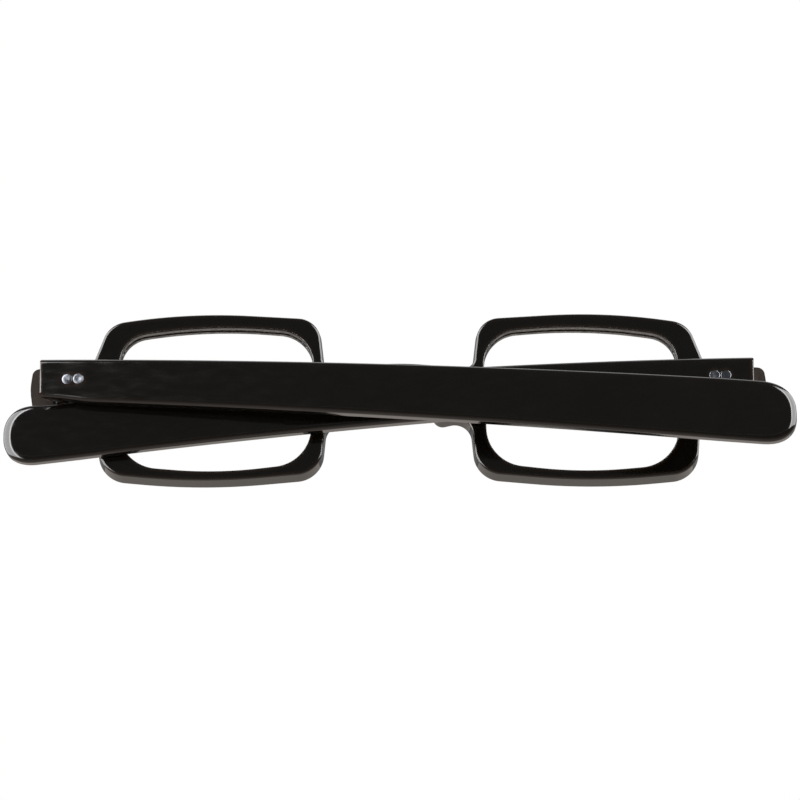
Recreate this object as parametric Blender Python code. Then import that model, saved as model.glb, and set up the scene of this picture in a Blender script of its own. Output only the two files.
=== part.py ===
"""Black acetate eyeglasses frame without lenses, with both temples folded behind the front.

The front stands upright in the XZ plane and faces -Y, and the wearer's left is +X. The origin is the
middle of the bridge's flat back face. Lengths below are millimetres, and heights are measured up from the
lowest point of the rims until the datum empty moves everything to the origin. A temple is drawn in its own
plane: u runs from the hinge pin towards the tip, v from the pin towards the outer face, and z up.
"""

import math

import bmesh
import bpy
from mathutils import Vector

MM = 0.001
SIDES = {"left": 1, "right": -1}

# Front: depth of the acetate sheet, draft of its side walls and of its level walls, and its edges
FRONT_DEPTH = 4.5
SIDE_DRAFT = 0.2
LEVEL_DRAFT = 0.66
EDGE_RADIUS = 0.35
BRIDGE_HEIGHT = 20.6
ENDPIECE_X = 72.1
ENDPIECE_TOP = 23.5
ENDPIECE_BOTTOM = 14.2

# Half outline at the front edge, from the top of the bridge outwards and back to the nose arch, as x, z and
# corner radius
FRONT_CORNERS = (
    (0.0, 24.6, 60.0),
    (14.35, 23.3, 1.8),
    (15.5, 33.3, 4.8),
    (40.7, 34.75, 115.0),
    (56.55, 32.4, 5.3),
    (60.0, ENDPIECE_TOP, 1.6),
    (ENDPIECE_X - 0.7, ENDPIECE_TOP, 1.6),
    (ENDPIECE_X, 18.9, 14.0),
    (ENDPIECE_X - 0.8, ENDPIECE_BOTTOM, 1.6),
    (59.0, ENDPIECE_BOTTOM, 1.6),
    (58.1, 1.2, 5.7),
    (38.1, -0.68, 130.0),
    (15.0, 1.35, 5.6),
    (13.8, 12.9, 3.3),
    (7.6, 11.5, 2.0),
    (4.0, 17.6, 3.5),
)

# Lens opening at the lips, from the upper nasal corner over the top: x, z, corner radius
LENS_CORNERS = (
    (16.5, 29.85, 6.9),
    (37.4, 31.55, 100.0),
    (54.2, 28.9, 5.8),
    (54.5, 3.5, 7.9),
    (35.5, 1.85, 85.0),
    (17.25, 3.95, 7.7),
)
GROOVE_DEPTH = 0.8
GROOVE_WIDTH = 1.3
GROOVE_FROM_BACK = 2.3
LIP_CHAMFER = 0.25

# Hinge: pin position, barrel and leaves. The hinges were set by hand, so one sits a little higher
PIN_X = 65.3
PIN_Y = 1.9
HINGE_Z = {"left": 18.7, "right": 19.2}
PIN_RADIUS = 0.6
BARREL_RADIUS = 1.5
LEAF_THICKNESS = 0.9
NECK_WIDTH = 1.2
KNUCKLES = 5
KNUCKLE_HEIGHT = 0.92
KNUCKLE_GAP = 0.1
FRONT_LEAF_LENGTH = 6.4
TEMPLE_LEAF_LENGTH = 6.6
LEAF_TO_FACE = PIN_Y
SLOT_REACH = BARREL_RADIUS + 0.4
SLOT_FLOOR = LEAF_TO_FACE + 0.04
RUNNING_FIT = 0.05
POCKET_FIT = 0.08

# Rivets: heads on the outer faces, tails peened over the leaves
RIVET_RADIUS = 0.6
RIVET_HEAD_RADIUS = 1.0
RIVET_HEAD_HEIGHT = 0.45
RIVET_DOME = 0.1
RIVET_DOME_SHAPE = ((0.75, 0.6), (1.0, 0.25))
RIVET_TAIL_RADIUS = 0.85
RIVET_TAIL_HEIGHT = 0.25
RIVET_TAIL_BEVEL = 0.2
RIVET_SPACING = 2.17
TEMPLE_RIVET_FROM_PIN = 2.1
FRONT_RIVET_FROM_PIN = 2.9
RIVET_REST_GAP = 0.02

# Screw that joins the leaves
SCREW_HEAD_RADIUS = 1.15
SCREW_HEAD_HEIGHT = 0.55
SCREW_SLOT_WIDTH = 0.3
SCREW_SLOT_DEPTH = 0.25
SCREW_TIP_RECESS = 0.1
SCREW_TIP_BEVEL = 0.15
SCREW_DOME_START = 0.6
SCREW_TOP_SHARE = 0.75

# Temple
TEMPLE_OUTER_V = 5.9
TEMPLE_THICKNESS = 4.0
TIP_THICKNESS = 3.35
BUTT_U = -3.4
MITRE_SLOPE = 0.4125
MITRE_FADE = 8.0
BUTT_BEVEL = 0.25
ROOT_HEIGHT = 8.1
PADDLE_HEIGHT = 11.9
PADDLE_U = 127.6
HEIGHT_POWER = 0.9
TIP_U = 141.8
TIP_ROUND = 7.0
TIP_POWER = 2.4
ROOT_Z = 18.85
DROOP = {"left": (0.045, 0.00018), "right": (0.031, 0.00027)}

# The lower corner of each butt is rounded, and the top of the right tip is filed down a little, so that the
# left butt passes over the right tip as the left temple opens
ROOT_LIFT = 0.55
ROOT_LIFT_LENGTH = 9.0
TIP_DIP = {"left": 0.0, "right": 0.75}
TIP_DIP_U = 131.5
TIP_DIP_REACH = 10.0
BOW = 3.58
OUTER_EDGE_RADIUS = 1.0
INNER_EDGE_RADIUS = 0.8

# Angle between each folded temple and the plane of the front, and the gap left where the open temple meets it
FOLD_ANGLE = {"left": 6.6, "right": -0.5}
MITRE_GAP = 0.12
MITRE_BEHIND_LEAF = 1.2

# Steel core of each temple, in a channel that is open at the butt
CORE_RADIUS = 0.6
CORE_FIT = 0.08
CORE_START_U = -2.1
CORE_END_U = 121.0
CORE_BELOW_RIVETS = 2.3
CORE_RISE_LENGTH = 18.0

# How finely round shapes are faceted, and how far a cutter runs past the faces that it opens
ARC_STEP = math.radians(18)
LONGEST_CHORD = 6.0
ROUND_SEGMENTS = 16
BARREL_STEPS = 10
FRONT_EDGE_STEPS = 2
TEMPLE_EDGE_STEPS = 3
TEMPLE_STATIONS = 18
TIP_STATIONS = 8
CORE_STATIONS = 22
CORE_SIDES = 10
SHARP_ANGLE = math.radians(35)
OVERSHOOT = 0.5


def clear_scene():
    for old in list(bpy.data.objects):
        bpy.data.objects.remove(old, do_unlink=True)


def make_material(name, colour, metallic, roughness):
    material = bpy.data.materials.new(name)
    material.use_nodes = True
    shader = material.node_tree.nodes["Principled BSDF"]
    shader.inputs["Base Color"].default_value = (*colour, 1.0)
    shader.inputs["Metallic"].default_value = metallic
    shader.inputs["Roughness"].default_value = roughness
    return material


def add_empty(name, location, turn, parent):
    empty = bpy.data.objects.new(name, None)
    empty.location = Vector(location) * MM
    empty.rotation_euler.z = turn
    empty.parent = parent
    bpy.context.scene.collection.objects.link(empty)
    return empty


def finish_object(name, bm, material, parent):
    """Links a closed mesh as one object, its flat faces crisp and its round faces smooth."""
    bmesh.ops.recalc_face_normals(bm, faces=bm.faces)
    mesh = bpy.data.meshes.new(name)
    bm.to_mesh(mesh)
    bm.free()
    mesh.shade_smooth()
    mesh.set_sharp_from_angle(angle=SHARP_ANGLE)
    mesh.materials.append(material)
    obj = bpy.data.objects.new(name, mesh)
    obj.parent = parent
    bpy.context.scene.collection.objects.link(obj)
    return obj


def stack_rings(name, rings, material, parent, ladder_caps=False):
    """A closed solid through rings of equal length. A ladder cap joins each point to the one opposite."""
    bm = bmesh.new()
    loops = [[bm.verts.new(Vector(point) * MM) for point in ring] for ring in rings]
    count = len(loops[0])
    for near, far in zip(loops, loops[1:]):
        for i in range(count):
            j = (i + 1) % count
            bm.faces.new((near[i], near[j], far[j], far[i]))
    for end in (loops[0], loops[-1]):
        if not ladder_caps:
            bm.faces.new(end)
            continue
        for i in range(count // 2 - 1):
            bm.faces.new((end[i], end[i + 1], end[-2 - i], end[-1 - i]))
    return finish_object(name, bm, material, parent)


def cut(target, cutter):
    cutter.hide_render = True
    cutter.display_type = "WIRE"
    modifier = target.modifiers.new("cut " + cutter.name, "BOOLEAN")
    modifier.operation = "DIFFERENCE"
    modifier.solver = "EXACT"
    modifier.object = cutter


def unit(vector):
    return vector / vector.length


def round_corners(corners):
    """Points along a closed outline whose corners, given as (x, z, radius), are rounded by arcs."""
    points = []
    for k, (x, z, radius) in enumerate(corners):
        corner = Vector((x, z))
        before = unit(corner - Vector(corners[k - 1][:2]))
        after = unit(Vector(corners[(k + 1) % len(corners)][:2]) - corner)
        turn = before.angle_signed(after)
        start = corner - before * radius * math.tan(abs(turn) / 2)
        side = math.copysign(1.0, turn)
        centre = start + Vector((before.y, -before.x)) * side * radius
        steps = max(math.ceil(abs(turn) / ARC_STEP), math.ceil(abs(turn) * radius / LONGEST_CHORD), 2)
        for step in range(steps + 1):
            spoke = start - centre
            angle = -turn * step / steps
            points.append(centre + Vector((
                spoke.x * math.cos(angle) - spoke.y * math.sin(angle),
                spoke.x * math.sin(angle) + spoke.y * math.cos(angle),
            )))
    return points


def inset(points, distances):
    """The closed outline moved inwards, each point by its own distance. Points run clockwise, with z up."""
    moved = []
    for k, point in enumerate(points):
        before = unit(point - points[k - 1])
        after = unit(points[(k + 1) % len(points)] - point)
        inward_before = Vector((before.y, -before.x))
        inward_after = Vector((after.y, -after.x))
        mitre = (inward_before + inward_after) / (1 + inward_before.dot(inward_after))
        moved.append(point + mitre * distances[k])
    return moved


def quarter_round(radius, steps):
    """Pairs of inset and depth that round an edge, from the face to the side wall."""
    angles = [math.pi / 2 * k / steps for k in range(steps + 1)]
    return [(radius * (1 - math.sin(a)), radius * (1 - math.cos(a))) for a in angles]


def front_outline():
    """Clockwise outline of the whole front at its front edge."""
    mirrored = [(-x, z, radius) for x, z, radius in FRONT_CORNERS[:0:-1]]
    return round_corners(list(FRONT_CORNERS) + mirrored)


def wall_drafts(outline):
    """How far the back edge lies inside the front edge, point by point: most where the outline is level."""
    drafts = []
    for k in range(len(outline)):
        along = unit(outline[(k + 1) % len(outline)] - outline[k - 1])
        drafts.append(SIDE_DRAFT + (LEVEL_DRAFT - SIDE_DRAFT) * abs(along.x))
    return drafts


def front_rings():
    """Rings from the front face at -Y to the back face at Y 0."""
    outline = front_outline()
    drafts = wall_drafts(outline)
    levels = [(-FRONT_DEPTH + depth, edge) for edge, depth in quarter_round(EDGE_RADIUS, FRONT_EDGE_STEPS)]
    levels += [(-depth, edge) for edge, depth in reversed(quarter_round(EDGE_RADIUS, FRONT_EDGE_STEPS))]
    rings = []
    for y, edge in levels:
        back = (y + FRONT_DEPTH) / FRONT_DEPTH
        points = inset(outline, [edge + draft * back for draft in drafts])
        rings.append([(p.x, y, p.y) for p in points])
    return rings


def lens_cutter(side, material, parent):
    """Spool that cuts one lens opening, with a chamfer at each lip and the V groove that holds a lens."""
    outline = round_corners(LENS_CORNERS)
    groove = -GROOVE_FROM_BACK
    half = GROOVE_WIDTH / 2
    profile = (
        (-FRONT_DEPTH - OVERSHOOT, LIP_CHAMFER + OVERSHOOT),
        (-FRONT_DEPTH + LIP_CHAMFER, 0.0),
        (groove - half, 0.0),
        (groove, GROOVE_DEPTH),
        (groove + half, 0.0),
        (-LIP_CHAMFER, 0.0),
        (OVERSHOOT, LIP_CHAMFER + OVERSHOOT),
    )
    sign = SIDES[side]
    rings = []
    for y, grow in profile:
        points = inset(outline, [-grow] * len(outline))
        rings.append([(sign * p.x, y, p.y) for p in points])
    return stack_rings("lens_cutter_" + side, rings, material, parent)


def prism(name, outline, low, high, material, parent):
    rings = [[(x, y, z) for x, y in outline] for z in (low, high)]
    return stack_rings(name, rings, material, parent)


def box(name, low, high, material, parent):
    outline = ((low[0], low[1]), (high[0], low[1]), (high[0], high[1]), (low[0], high[1]))
    return prism(name, outline, low[2], high[2], material, parent)


def turned(name, profile, along, centre, material, parent):
    """A solid of revolution. Profile holds (position, radius) pairs along local Y or Z, from the centre."""
    rings = []
    for position, radius in profile:
        ring = []
        for k in range(ROUND_SEGMENTS):
            angle = 2 * math.pi * k / ROUND_SEGMENTS
            across = (radius * math.cos(angle), radius * math.sin(angle))
            if along == "Y":
                ring.append((centre[0] + across[0], centre[1] + position, centre[2] + across[1]))
            else:
                ring.append((centre[0] + across[0], centre[1] + across[1], centre[2] + position))
        rings.append(ring)
    return stack_rings(name, rings, material, parent)


def hinge_span(side):
    """Lowest and highest point of the barrel."""
    half = (KNUCKLES * KNUCKLE_HEIGHT + (KNUCKLES - 1) * KNUCKLE_GAP) / 2
    return HINGE_Z[side] - half, HINGE_Z[side] + half


def knuckle_slots(side, owner_is_front):
    """Height ranges that a leaf leaves free for the other leaf's knuckles."""
    low = hinge_span(side)[0]
    pitch = KNUCKLE_HEIGHT + KNUCKLE_GAP
    first = 1 if owner_is_front else 0
    slots = []
    for k in range(first, KNUCKLES, 2):
        start = low + k * pitch
        slots.append((start - KNUCKLE_GAP, start + KNUCKLE_HEIGHT + KNUCKLE_GAP))
    return slots


def leaf_outline(length, along, out):
    """Plan of a leaf about the pin. along and out give the direction and the side of its plate."""
    plate_near = LEAF_TO_FACE
    plate_far = LEAF_TO_FACE + LEAF_THICKNESS
    start = math.atan2(math.sqrt(BARREL_RADIUS**2 - NECK_WIDTH**2), -NECK_WIDTH)
    points = [(length, plate_far), (-NECK_WIDTH, plate_far)]
    for k in range(BARREL_STEPS + 1):
        angle = start + (2 * math.pi - start) * k / BARREL_STEPS
        points.append((BARREL_RADIUS * math.cos(angle), BARREL_RADIUS * math.sin(angle)))
    points += [(BARREL_RADIUS, plate_near), (length, plate_near)]
    return [(a * along[0] + b * out[0], a * along[1] + b * out[1]) for a, b in points]


def hinge_leaf(name, side, length, along, out, centre, is_front, steel, parent):
    """A hinge leaf with its knuckles, around a pin at the given centre."""
    low, high = hinge_span(side)
    outline = [(centre[0] + x, centre[1] + y) for x, y in leaf_outline(length, along, out)]
    leaf = prism(name, outline, low, high, steel, parent)
    surface = out[1] * SLOT_FLOOR
    free = -out[1] * SLOT_REACH
    for k, (bottom, top) in enumerate(knuckle_slots(side, is_front)):
        slot = box(
            f"slot_{name}_{k}",
            (centre[0] - SLOT_REACH, centre[1] + min(surface, free), bottom),
            (centre[0] + SLOT_REACH, centre[1] + max(surface, free), top),
            steel,
            parent,
        )
        cut(leaf, slot)
    bore = PIN_RADIUS + RUNNING_FIT
    profile = ((low - OVERSHOOT, bore), (high + OVERSHOOT, bore))
    cut(leaf, turned("pin_hole_" + name, profile, "Z", (*centre, 0.0), steel, parent))
    return leaf


def rivet_profile(grip, clearance=0.0):
    """A rivet from its tail at position 0 to the dome of its head. A clearance turns it into its own hole."""
    head_base = grip - RIVET_HEAD_HEIGHT - clearance
    tail = -RIVET_REST_GAP
    if clearance:
        return (
            (tail - OVERSHOOT, RIVET_RADIUS + clearance),
            (head_base, RIVET_RADIUS + clearance),
            (head_base, RIVET_HEAD_RADIUS + clearance),
            (grip + OVERSHOOT, RIVET_HEAD_RADIUS + clearance),
        )
    return (
        (tail - RIVET_TAIL_HEIGHT, RIVET_TAIL_RADIUS - RIVET_TAIL_BEVEL),
        (tail - RIVET_TAIL_HEIGHT / 2, RIVET_TAIL_RADIUS),
        (tail, RIVET_TAIL_RADIUS),
        (tail, RIVET_RADIUS),
        (head_base, RIVET_RADIUS),
        (head_base, RIVET_HEAD_RADIUS),
        (grip, RIVET_HEAD_RADIUS),
        *((grip + RIVET_DOME * rise, RIVET_HEAD_RADIUS * width) for rise, width in RIVET_DOME_SHAPE),
    )


def mitre_cutter(side, sign, material, parent):
    """Everything behind the slanting face that the open temple's butt closes on."""
    inner = PIN_X + LEAF_TO_FACE - MITRE_BEHIND_LEAF
    outer = ENDPIECE_X + OVERSHOOT
    start = PIN_Y + BUTT_U + (TEMPLE_OUTER_V - LEAF_TO_FACE) * MITRE_SLOPE - MITRE_GAP
    line = [(x, start - (x - PIN_X - LEAF_TO_FACE) * MITRE_SLOPE) for x in (inner, outer)]
    plan = [(sign * x, y) for x, y in (*line, (outer, OVERSHOOT), (inner, OVERSHOOT))]
    low = ENDPIECE_BOTTOM - OVERSHOOT
    high = ENDPIECE_TOP + OVERSHOOT
    return prism("mitre_" + side, plan, low, high, material, parent)


def front_pocket(side, sign, material, parent):
    """Recess that lets the front leaf lie flush with the back face."""
    low, high = hinge_span(side)
    ends = sorted((sign * (PIN_X - FRONT_LEAF_LENGTH - POCKET_FIT), sign * (PIN_X + NECK_WIDTH + POCKET_FIT)))
    return box(
        "leaf_pocket_" + side,
        (ends[0], -LEAF_THICKNESS - POCKET_FIT, low - POCKET_FIT),
        (ends[1], OVERSHOOT, high + POCKET_FIT),
        material,
        parent,
    )


def build_front(acetate, steel, datum):
    front = stack_rings("front_frame", front_rings(), acetate, datum)
    for side, sign in SIDES.items():
        cut(front, lens_cutter(side, acetate, datum))
        cut(front, mitre_cutter(side, sign, acetate, datum))
        cut(front, front_pocket(side, sign, acetate, datum))
        build_front_hinge(side, sign, front, steel, datum)


def build_front_hinge(side, sign, front, steel, datum):
    centre = (sign * PIN_X, PIN_Y)
    leaf = hinge_leaf(
        "front_hinge_leaf_" + side, side, FRONT_LEAF_LENGTH, (-sign, 0), (0, -1), centre, True, steel, datum
    )
    for k in range(2):
        x = sign * (PIN_X - FRONT_RIVET_FROM_PIN - k * RIVET_SPACING)
        hole = [(-a, r) for a, r in rivet_profile(FRONT_DEPTH, RUNNING_FIT)]
        name = f"front_rivet_{side}_{k + 1}"
        cutter = turned("hole_" + name, hole, "Y", (x, 0.0, HINGE_Z[side]), steel, datum)
        cut(front, cutter)
        cut(leaf, cutter)
        profile = [(-a, r) for a, r in rivet_profile(FRONT_DEPTH)]
        turned(name, profile, "Y", (x, 0.0, HINGE_Z[side]), steel, datum)


def build_screw(side, sign, steel, datum):
    low, high = hinge_span(side)
    tip = low + SCREW_TIP_RECESS
    seat = high + RUNNING_FIT
    profile = (
        (tip, PIN_RADIUS - SCREW_TIP_BEVEL),
        (tip + SCREW_TIP_BEVEL, PIN_RADIUS),
        (seat, PIN_RADIUS),
        (seat, SCREW_HEAD_RADIUS),
        (seat + SCREW_HEAD_HEIGHT * SCREW_DOME_START, SCREW_HEAD_RADIUS),
        (seat + SCREW_HEAD_HEIGHT, SCREW_HEAD_RADIUS * SCREW_TOP_SHARE),
    )
    centre = (sign * PIN_X, PIN_Y, 0.0)
    screw = turned("hinge_screw_" + side, profile, "Z", centre, steel, datum)
    top = seat + SCREW_HEAD_HEIGHT
    reach = SCREW_HEAD_RADIUS + OVERSHOOT
    slot = box(
        "screw_slot_" + side,
        (centre[0] - SCREW_SLOT_WIDTH / 2, PIN_Y - reach, top - SCREW_SLOT_DEPTH),
        (centre[0] + SCREW_SLOT_WIDTH / 2, PIN_Y + reach, top + OVERSHOOT),
        steel,
        datum,
    )
    cut(screw, slot)


def temple_centre_z(side, u):
    slope, curve = DROOP[side]
    along = u - BUTT_U
    return ROOT_Z - slope * along - curve * along**2


def temple_half_height(u):
    share = min((u - BUTT_U) / (PADDLE_U - BUTT_U), 1.0)
    height = ROOT_HEIGHT + (PADDLE_HEIGHT - ROOT_HEIGHT) * share**HEIGHT_POWER
    beyond = max(0.0, (u - TIP_U + TIP_ROUND) / TIP_ROUND)
    return height / 2 * (1 - min(beyond, 1.0)**TIP_POWER) ** (1 / TIP_POWER)


def temple_bow(u):
    return BOW * (u / TIP_U) ** 2


def temple_thickness(u):
    share = max(0.0, min(u / TIP_U, 1.0))
    return TEMPLE_THICKNESS + (TIP_THICKNESS - TEMPLE_THICKNESS) * share


def root_lift(u):
    """How far the bottom edge rises towards the butt."""
    return ROOT_LIFT * max(0.0, 1 - ((u - BUTT_U) / ROOT_LIFT_LENGTH) ** 2)


def tip_dip(side, u):
    """How far the top edge is filed down just before the tip."""
    share = min(abs(u - TIP_DIP_U) / TIP_DIP_REACH, 1.0)
    return TIP_DIP[side] * (1 + math.cos(math.pi * share)) / 2


def temple_outline(side):
    """Clockwise side view of a temple as (u, z): the top rail to the tip, then the bottom rail back."""
    straight = TIP_U - TIP_ROUND - BUTT_U
    stations = [BUTT_U + straight * k / TEMPLE_STATIONS for k in range(TEMPLE_STATIONS + 1)]
    stations.insert(1, BUTT_U + ROOT_LIFT_LENGTH / 2)
    for k in range(1, TIP_STATIONS):
        share = math.sin(math.pi / 2 * k / TIP_STATIONS) ** (2 / TIP_POWER)
        stations.append(TIP_U - TIP_ROUND + TIP_ROUND * share)
    top = []
    bottom = []
    for u in stations:
        centre = temple_centre_z(side, u)
        half = temple_half_height(u)
        top.append(Vector((u, centre + half - tip_dip(side, u))))
        bottom.append(Vector((u, centre - half + root_lift(u))))
    return top + bottom[::-1]


def temple_place(side, u, depth, z):
    """A point of a temple: depth is measured inwards from the outer face, before the bow and the taper."""
    fade = max(0.0, 1 - (u - BUTT_U) / MITRE_FADE)
    mitred_u = u + depth * MITRE_SLOPE * fade
    v = TEMPLE_OUTER_V - temple_bow(u) - depth * temple_thickness(u) / TEMPLE_THICKNESS
    return (-SIDES[side] * mitred_u, v, z)


def temple_rings(side):
    outline = temple_outline(side)
    outer = quarter_round(OUTER_EDGE_RADIUS, TEMPLE_EDGE_STEPS)
    rounding = reversed(quarter_round(INNER_EDGE_RADIUS, TEMPLE_EDGE_STEPS))
    inner = [(edge, TEMPLE_THICKNESS - depth) for edge, depth in rounding]
    rings = []
    for edge, depth in outer + inner:
        ring = inset(outline, [edge] * len(outline))
        for end in (0, -1):
            ring[end].x = BUTT_U + BUTT_BEVEL * edge
        rings.append([temple_place(side, p.x, depth, p.y) for p in ring])
    return rings


def core_tube(name, side, radius, start, end, material, parent):
    """The core wire or its channel, which dips below the rivets near the hinge."""
    rings = []
    for k in range(CORE_STATIONS + 1):
        u = start + (end - start) * k / CORE_STATIONS
        v = TEMPLE_OUTER_V - temple_bow(u) - temple_thickness(u) / 2
        z = temple_centre_z(side, u) - CORE_BELOW_RIVETS / (1 + (u / CORE_RISE_LENGTH) ** 2)
        ring = []
        for corner in range(CORE_SIDES):
            angle = 2 * math.pi * corner / CORE_SIDES
            ring.append((-SIDES[side] * u, v + radius * math.cos(angle), z + radius * math.sin(angle)))
        rings.append(ring)
    return stack_rings(name, rings, material, parent)


def temple_pocket(side, sign, material, parent):
    """Recess in the inner face for the temple leaf, open at the butt."""
    low, high = hinge_span(side)
    ends = sorted((-sign * BUTT_U, -sign * (TEMPLE_LEAF_LENGTH + POCKET_FIT)))
    return box(
        "temple_pocket_" + side,
        (ends[0], LEAF_TO_FACE - 2 * OVERSHOOT, low - POCKET_FIT),
        (ends[1], LEAF_TO_FACE + LEAF_THICKNESS + POCKET_FIT, high + POCKET_FIT),
        material,
        parent,
    )


def build_temple(side, sign, acetate, steel, datum):
    turn = -sign * math.radians(FOLD_ANGLE[side])
    pivot = add_empty("temple_pivot_" + side, (sign * PIN_X, PIN_Y, 0.0), turn, datum)
    temple = stack_rings("temple_" + side, temple_rings(side), acetate, pivot, ladder_caps=True)
    leaf = hinge_leaf(
        "temple_hinge_leaf_" + side,
        side,
        TEMPLE_LEAF_LENGTH,
        (-sign, 0),
        (0, 1),
        (0.0, 0.0),
        False,
        steel,
        pivot,
    )
    cut(temple, temple_pocket(side, sign, acetate, pivot))
    channel = (CORE_RADIUS + CORE_FIT, BUTT_U - OVERSHOOT, CORE_END_U + OVERSHOOT)
    cut(temple, core_tube("core_channel_" + side, side, *channel, acetate, pivot))
    core_tube("temple_core_wire_" + side, side, CORE_RADIUS, CORE_START_U, CORE_END_U, steel, pivot)
    grip = TEMPLE_OUTER_V - LEAF_TO_FACE
    for k in range(2):
        centre = (-sign * (TEMPLE_RIVET_FROM_PIN + k * RIVET_SPACING), LEAF_TO_FACE, HINGE_Z[side])
        name = f"temple_rivet_{side}_{k + 1}"
        cutter = turned("hole_" + name, rivet_profile(grip, RUNNING_FIT), "Y", centre, steel, pivot)
        cut(temple, cutter)
        cut(leaf, cutter)
        turned(name, rivet_profile(grip), "Y", centre, steel, pivot)


def main():
    clear_scene()
    acetate = make_material("black_acetate", (0.008, 0.0075, 0.007), 0.0, 0.12)
    steel = make_material("nickel_steel", (0.42, 0.43, 0.45), 1.0, 0.3)
    datum = add_empty("datum", (0.0, 0.0, -BRIDGE_HEIGHT), 0.0, None)
    build_front(acetate, steel, datum)
    for side, sign in SIDES.items():
        build_screw(side, sign, steel, datum)
        build_temple(side, sign, acetate, steel, datum)


main()
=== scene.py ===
"""Looks of a black acetate eyeglasses frame: polished acetate, rough lens grooves and riveted steel hinges.

Shapes are drawn in millimetres, with z from about the lowest point of the rims, and DATUM puts them in the
row frame. The front stands in the XZ plane and faces -Y, and the wearer's left is +X. A temple is drawn in
its own plane: u runs from the hinge pin towards the tip, v from the pin towards the outer face, and z up.
"""

import math

import bmesh
import bpy
from mathutils import Matrix, Vector, noise


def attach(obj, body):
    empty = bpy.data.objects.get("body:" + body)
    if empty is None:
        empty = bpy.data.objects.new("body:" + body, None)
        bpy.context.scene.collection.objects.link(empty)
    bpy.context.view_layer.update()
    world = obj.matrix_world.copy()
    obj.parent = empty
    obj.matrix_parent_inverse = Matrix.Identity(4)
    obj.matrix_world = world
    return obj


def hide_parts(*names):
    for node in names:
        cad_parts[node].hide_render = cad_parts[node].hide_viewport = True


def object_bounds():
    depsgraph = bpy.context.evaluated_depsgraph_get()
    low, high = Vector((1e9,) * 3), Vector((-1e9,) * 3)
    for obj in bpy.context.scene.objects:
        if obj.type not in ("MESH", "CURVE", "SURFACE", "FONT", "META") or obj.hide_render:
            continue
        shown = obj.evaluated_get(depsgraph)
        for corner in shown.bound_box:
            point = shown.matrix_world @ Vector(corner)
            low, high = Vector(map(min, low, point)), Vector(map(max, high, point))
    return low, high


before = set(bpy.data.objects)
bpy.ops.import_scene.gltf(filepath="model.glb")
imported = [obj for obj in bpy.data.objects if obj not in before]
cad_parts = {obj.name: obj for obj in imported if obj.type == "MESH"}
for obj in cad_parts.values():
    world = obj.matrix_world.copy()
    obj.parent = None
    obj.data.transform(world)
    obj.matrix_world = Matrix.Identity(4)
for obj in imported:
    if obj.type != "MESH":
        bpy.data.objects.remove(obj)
cad_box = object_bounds()

MM = 0.001
SIDES = {"left": 1, "right": -1}
DATUM = Vector((0.0, 0.0, -20.6))

# Front: half of its outline at the front edge, and a lens opening, as x, z and corner radius
FRONT_DEPTH = 4.5
SIDE_DRAFT = 0.2
LEVEL_DRAFT = 0.66
EDGE_RADIUS = 0.42
ENDPIECE_X = 72.1
ENDPIECE_TOP = 23.5
ENDPIECE_BOTTOM = 14.2
ENDPIECE_ROUND = 1.6
FRONT_CORNERS = (
    (0.0, 24.6, 60.0),
    (14.35, 23.3, 1.8),
    (15.5, 33.3, 4.8),
    (40.7, 34.75, 115.0),
    (56.55, 32.4, 5.3),
    (60.0, ENDPIECE_TOP, ENDPIECE_ROUND),
    (ENDPIECE_X - 0.7, ENDPIECE_TOP, ENDPIECE_ROUND),
    (ENDPIECE_X, 18.9, 14.0),
    (ENDPIECE_X - 0.8, ENDPIECE_BOTTOM, ENDPIECE_ROUND),
    (59.0, ENDPIECE_BOTTOM, ENDPIECE_ROUND),
    (58.1, 1.2, 5.7),
    (38.1, -0.68, 130.0),
    (15.0, 1.35, 5.6),
    (13.8, 12.9, 3.3),
    (7.6, 11.5, 2.0),
    (4.0, 17.6, 3.5),
)
LENS_CORNERS = (
    (16.5, 29.85, 6.9),
    (37.4, 31.55, 100.0),
    (54.2, 28.9, 5.8),
    (54.5, 3.5, 7.9),
    (35.5, 1.85, 85.0),
    (17.25, 3.95, 7.7),
)
LENS_MIDDLE = Vector((36.0, 16.0))
LIP_RADIUS = 0.25
GROOVE_DEPTH = 0.8
GROOVE_WIDTH = 1.3
GROOVE_FROM_BACK = 2.3
GROOVE_POWER = 0.8
GROOVE_POINT_STEP = 0.45

# Section of the groove: share of its half width, and how strongly the cutter's chatter shows there
GROOVE_SECTION = ((0.25, 1.0), (0.6, 0.8), (1.0, 0.35), (1.15, 0.0))

# Chatter that the groove cutter left: how far it wanders, how often, and where the noise of its drift starts
CHATTER_DEPTH = 0.3
CHATTER_DRIFT = 0.22
CHATTER_LENGTH = 0.8
DRIFT_OFFSET = Vector((40.0, 0.0, 0.0))

# Hand polish loosens the curve of an edge where it leaves the face
EDGE_SOFTNESS = 2.5
EDGE_SOFT_TURN = math.radians(9)
EDGE_SLICES = 4

# Hinge
PIN_X = 65.3
PIN_Y = 1.9
HINGE_Z = {"left": 18.7, "right": 19.2}
PIN_RADIUS = 0.6
BARREL_RADIUS = 1.5
LEAF_THICKNESS = 0.9
NECK_WIDTH = 1.2
KNUCKLES = 5
KNUCKLE_HEIGHT = 0.92
KNUCKLE_GAP = 0.1
FRONT_LEAF_LENGTH = 6.4
TEMPLE_LEAF_LENGTH = 6.6
LEAF_TO_FACE = PIN_Y
SLOT_CLEARANCE = 0.4
SLOT_REACH = BARREL_RADIUS + SLOT_CLEARANCE
FLOOR_CLEARANCE = 0.04
SLOT_FLOOR = LEAF_TO_FACE + FLOOR_CLEARANCE
RUNNING_FIT = 0.05
POCKET_FIT = 0.08
LEAF_BEVEL = 0.05

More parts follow.
